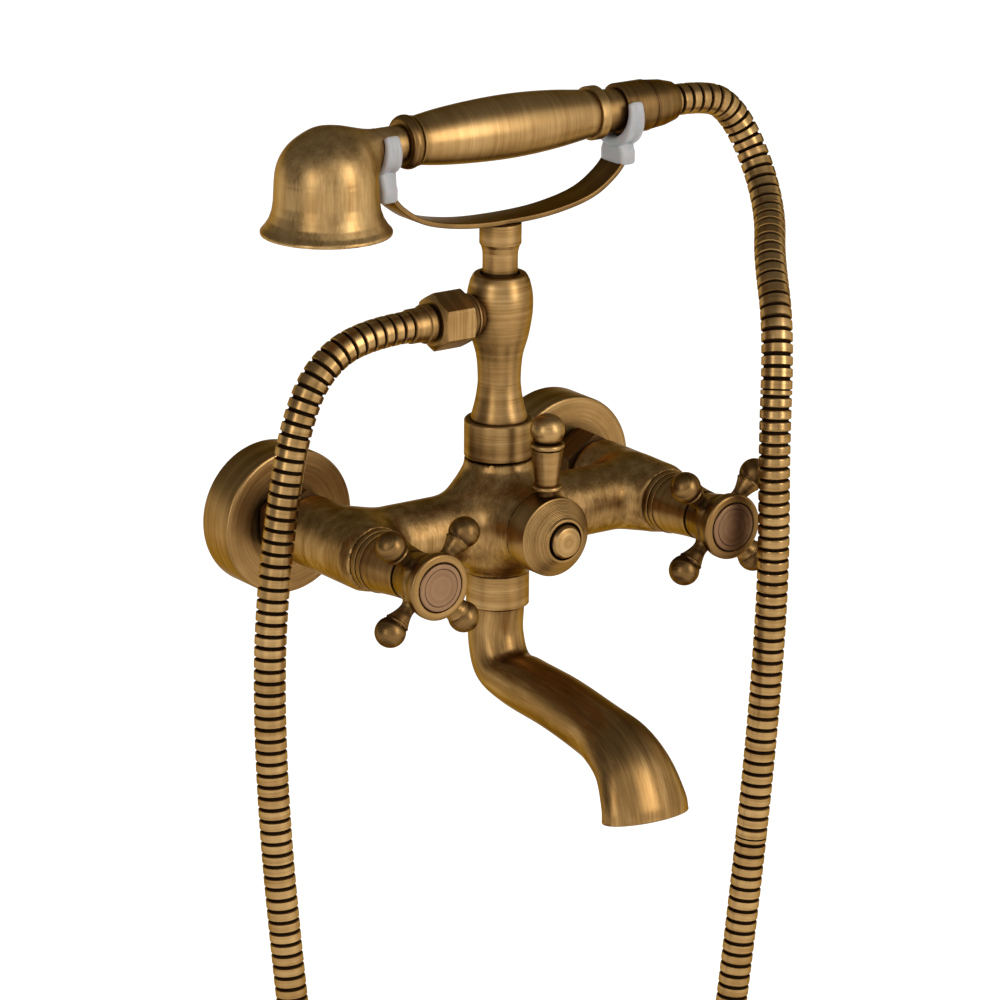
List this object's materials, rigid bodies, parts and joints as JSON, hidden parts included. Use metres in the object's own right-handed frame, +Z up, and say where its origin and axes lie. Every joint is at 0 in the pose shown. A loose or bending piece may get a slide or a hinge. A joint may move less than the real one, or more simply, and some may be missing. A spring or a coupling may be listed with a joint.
{
  "type": "bath shower mixer",
  "caption": "Wall-held bath shower mixer in antique brass with cross handles, a swivelling spout, a lever diverter and a handset on a cradle with a ribbed hose.",
  "frame": {"origin": "midway between the two supply threads, on the plane of the finished wall", "axes": "+X to the right when facing the wall, +Y into the wall along the supply threads, +Z up"},
  "size_m": [0.2642, 0.2031, 0.7239],
  "materials": {
    "antique_brass": "brushed antique brass with brown patina",
    "hose_brass": "ribbed antique brass with dark grooves",
    "raw_brass": "machined brass",
    "white_plastic": "translucent white",
    "black_rubber": "matt",
    "valve_ceramic": "lapped ceramic",
    "slip_plastic": "natural acetal",
    "screw_steel": "stainless steel"
  },
  "bodies": {
    "root": {"mixer_body": "antique_brass", "hot_flange": "antique_brass", "cold_flange": "antique_brass", "hot_union": "raw_brass", "cold_union": "raw_brass", "hot_union_nut": "antique_brass", "cold_union_nut": "antique_brass", "union_washers": "black_rubber", "hot_headwork": "raw_brass", "cold_headwork": "raw_brass", "hot_shroud": "antique_brass", "cold_shroud": "antique_brass", "fixed_ceramic_discs": "valve_ceramic", "spindle_o_rings": "black_rubber", "diverter_housing": "raw_brass", "spout_collar": "antique_brass", "riser_collar": "antique_brass", "riser_column": "antique_brass", "riser_seal": "black_rubber", "hose_outlet": "antique_brass", "outlet_seal": "black_rubber", "hose_hex_nut": "antique_brass", "lower_ferrule": "antique_brass", "hose_lower": "hose_brass"},
    "hot_valve_body": {"hot_handle": "antique_brass", "hot_index_cap": "antique_brass", "hot_spindle": "raw_brass", "hot_moving_disc": "valve_ceramic", "hot_handle_screw": "screw_steel"},
    "cold_valve_body": {"cold_handle": "antique_brass", "cold_index_cap": "antique_brass", "cold_spindle": "raw_brass", "cold_moving_disc": "valve_ceramic", "cold_handle_screw": "screw_steel"},
    "diverter_body": {"diverter_knob": "antique_brass", "diverter_lever": "antique_brass", "diverter_button": "antique_brass", "diverter_spindle": "raw_brass", "diverter_screw": "screw_steel", "diverter_rotor": "raw_brass"},
    "spout_body": {"spout": "antique_brass", "spout_o_rings": "black_rubber", "spout_slip_ring": "slip_plastic", "outlet_grid": "antique_brass"},
    "cradle_body": {"cradle_stem": "antique_brass", "cradle_strap": "antique_brass", "cradle_screw": "screw_steel", "left_clip": "white_plastic", "right_clip": "white_plastic", "stem_o_ring": "black_rubber", "hose_upper": "hose_brass"},
    "handset_body": {"handset_head": "antique_brass", "spray_plate": "antique_brass", "spray_seal": "black_rubber", "handset_grip": "antique_brass", "handset_nipple": "antique_brass", "handset_washer": "black_rubber", "cone_nut": "antique_brass", "upper_ferrule": "antique_brass"}
  },
  "joints": [
    {"name": "hot_valve", "type": "hinge", "parent": "root", "child": "hot_valve_body", "pos_m": [-0.077, -0.1275, 0.0016], "axis": [0, 1, 0], "range_deg": [0, 90]},
    {"name": "cold_valve", "type": "hinge", "parent": "root", "child": "cold_valve_body", "pos_m": [0.077, -0.1275, 0.0016], "axis": [0, -1, 0], "range_deg": [0, 90]},
    {"name": "diverter", "type": "hinge", "parent": "root", "child": "diverter_body", "pos_m": [0, -0.106, 0.004], "axis": [0, 1, 0], "range_deg": [0, 90]},
    {"name": "spout_swivel", "type": "hinge", "parent": "root", "child": "spout_body", "pos_m": [0, -0.07, -0.037], "axis": [0, 0, 1], "range_deg": [-25, 25]},
    {"name": "cradle_swivel", "type": "hinge", "parent": "root", "child": "cradle_body", "pos_m": [0, -0.07, 0.112], "axis": [0, 0, 1], "range_deg": [-20, 20], "deforming": ["hose_lower"]},
    {"name": "handset_lift", "type": "slide", "parent": "cradle_body", "child": "handset_body", "axis": [-0.4614, 0, 0.8872], "range_m": [0, 0.028], "deforming": ["hose_upper"]}
  ]
}
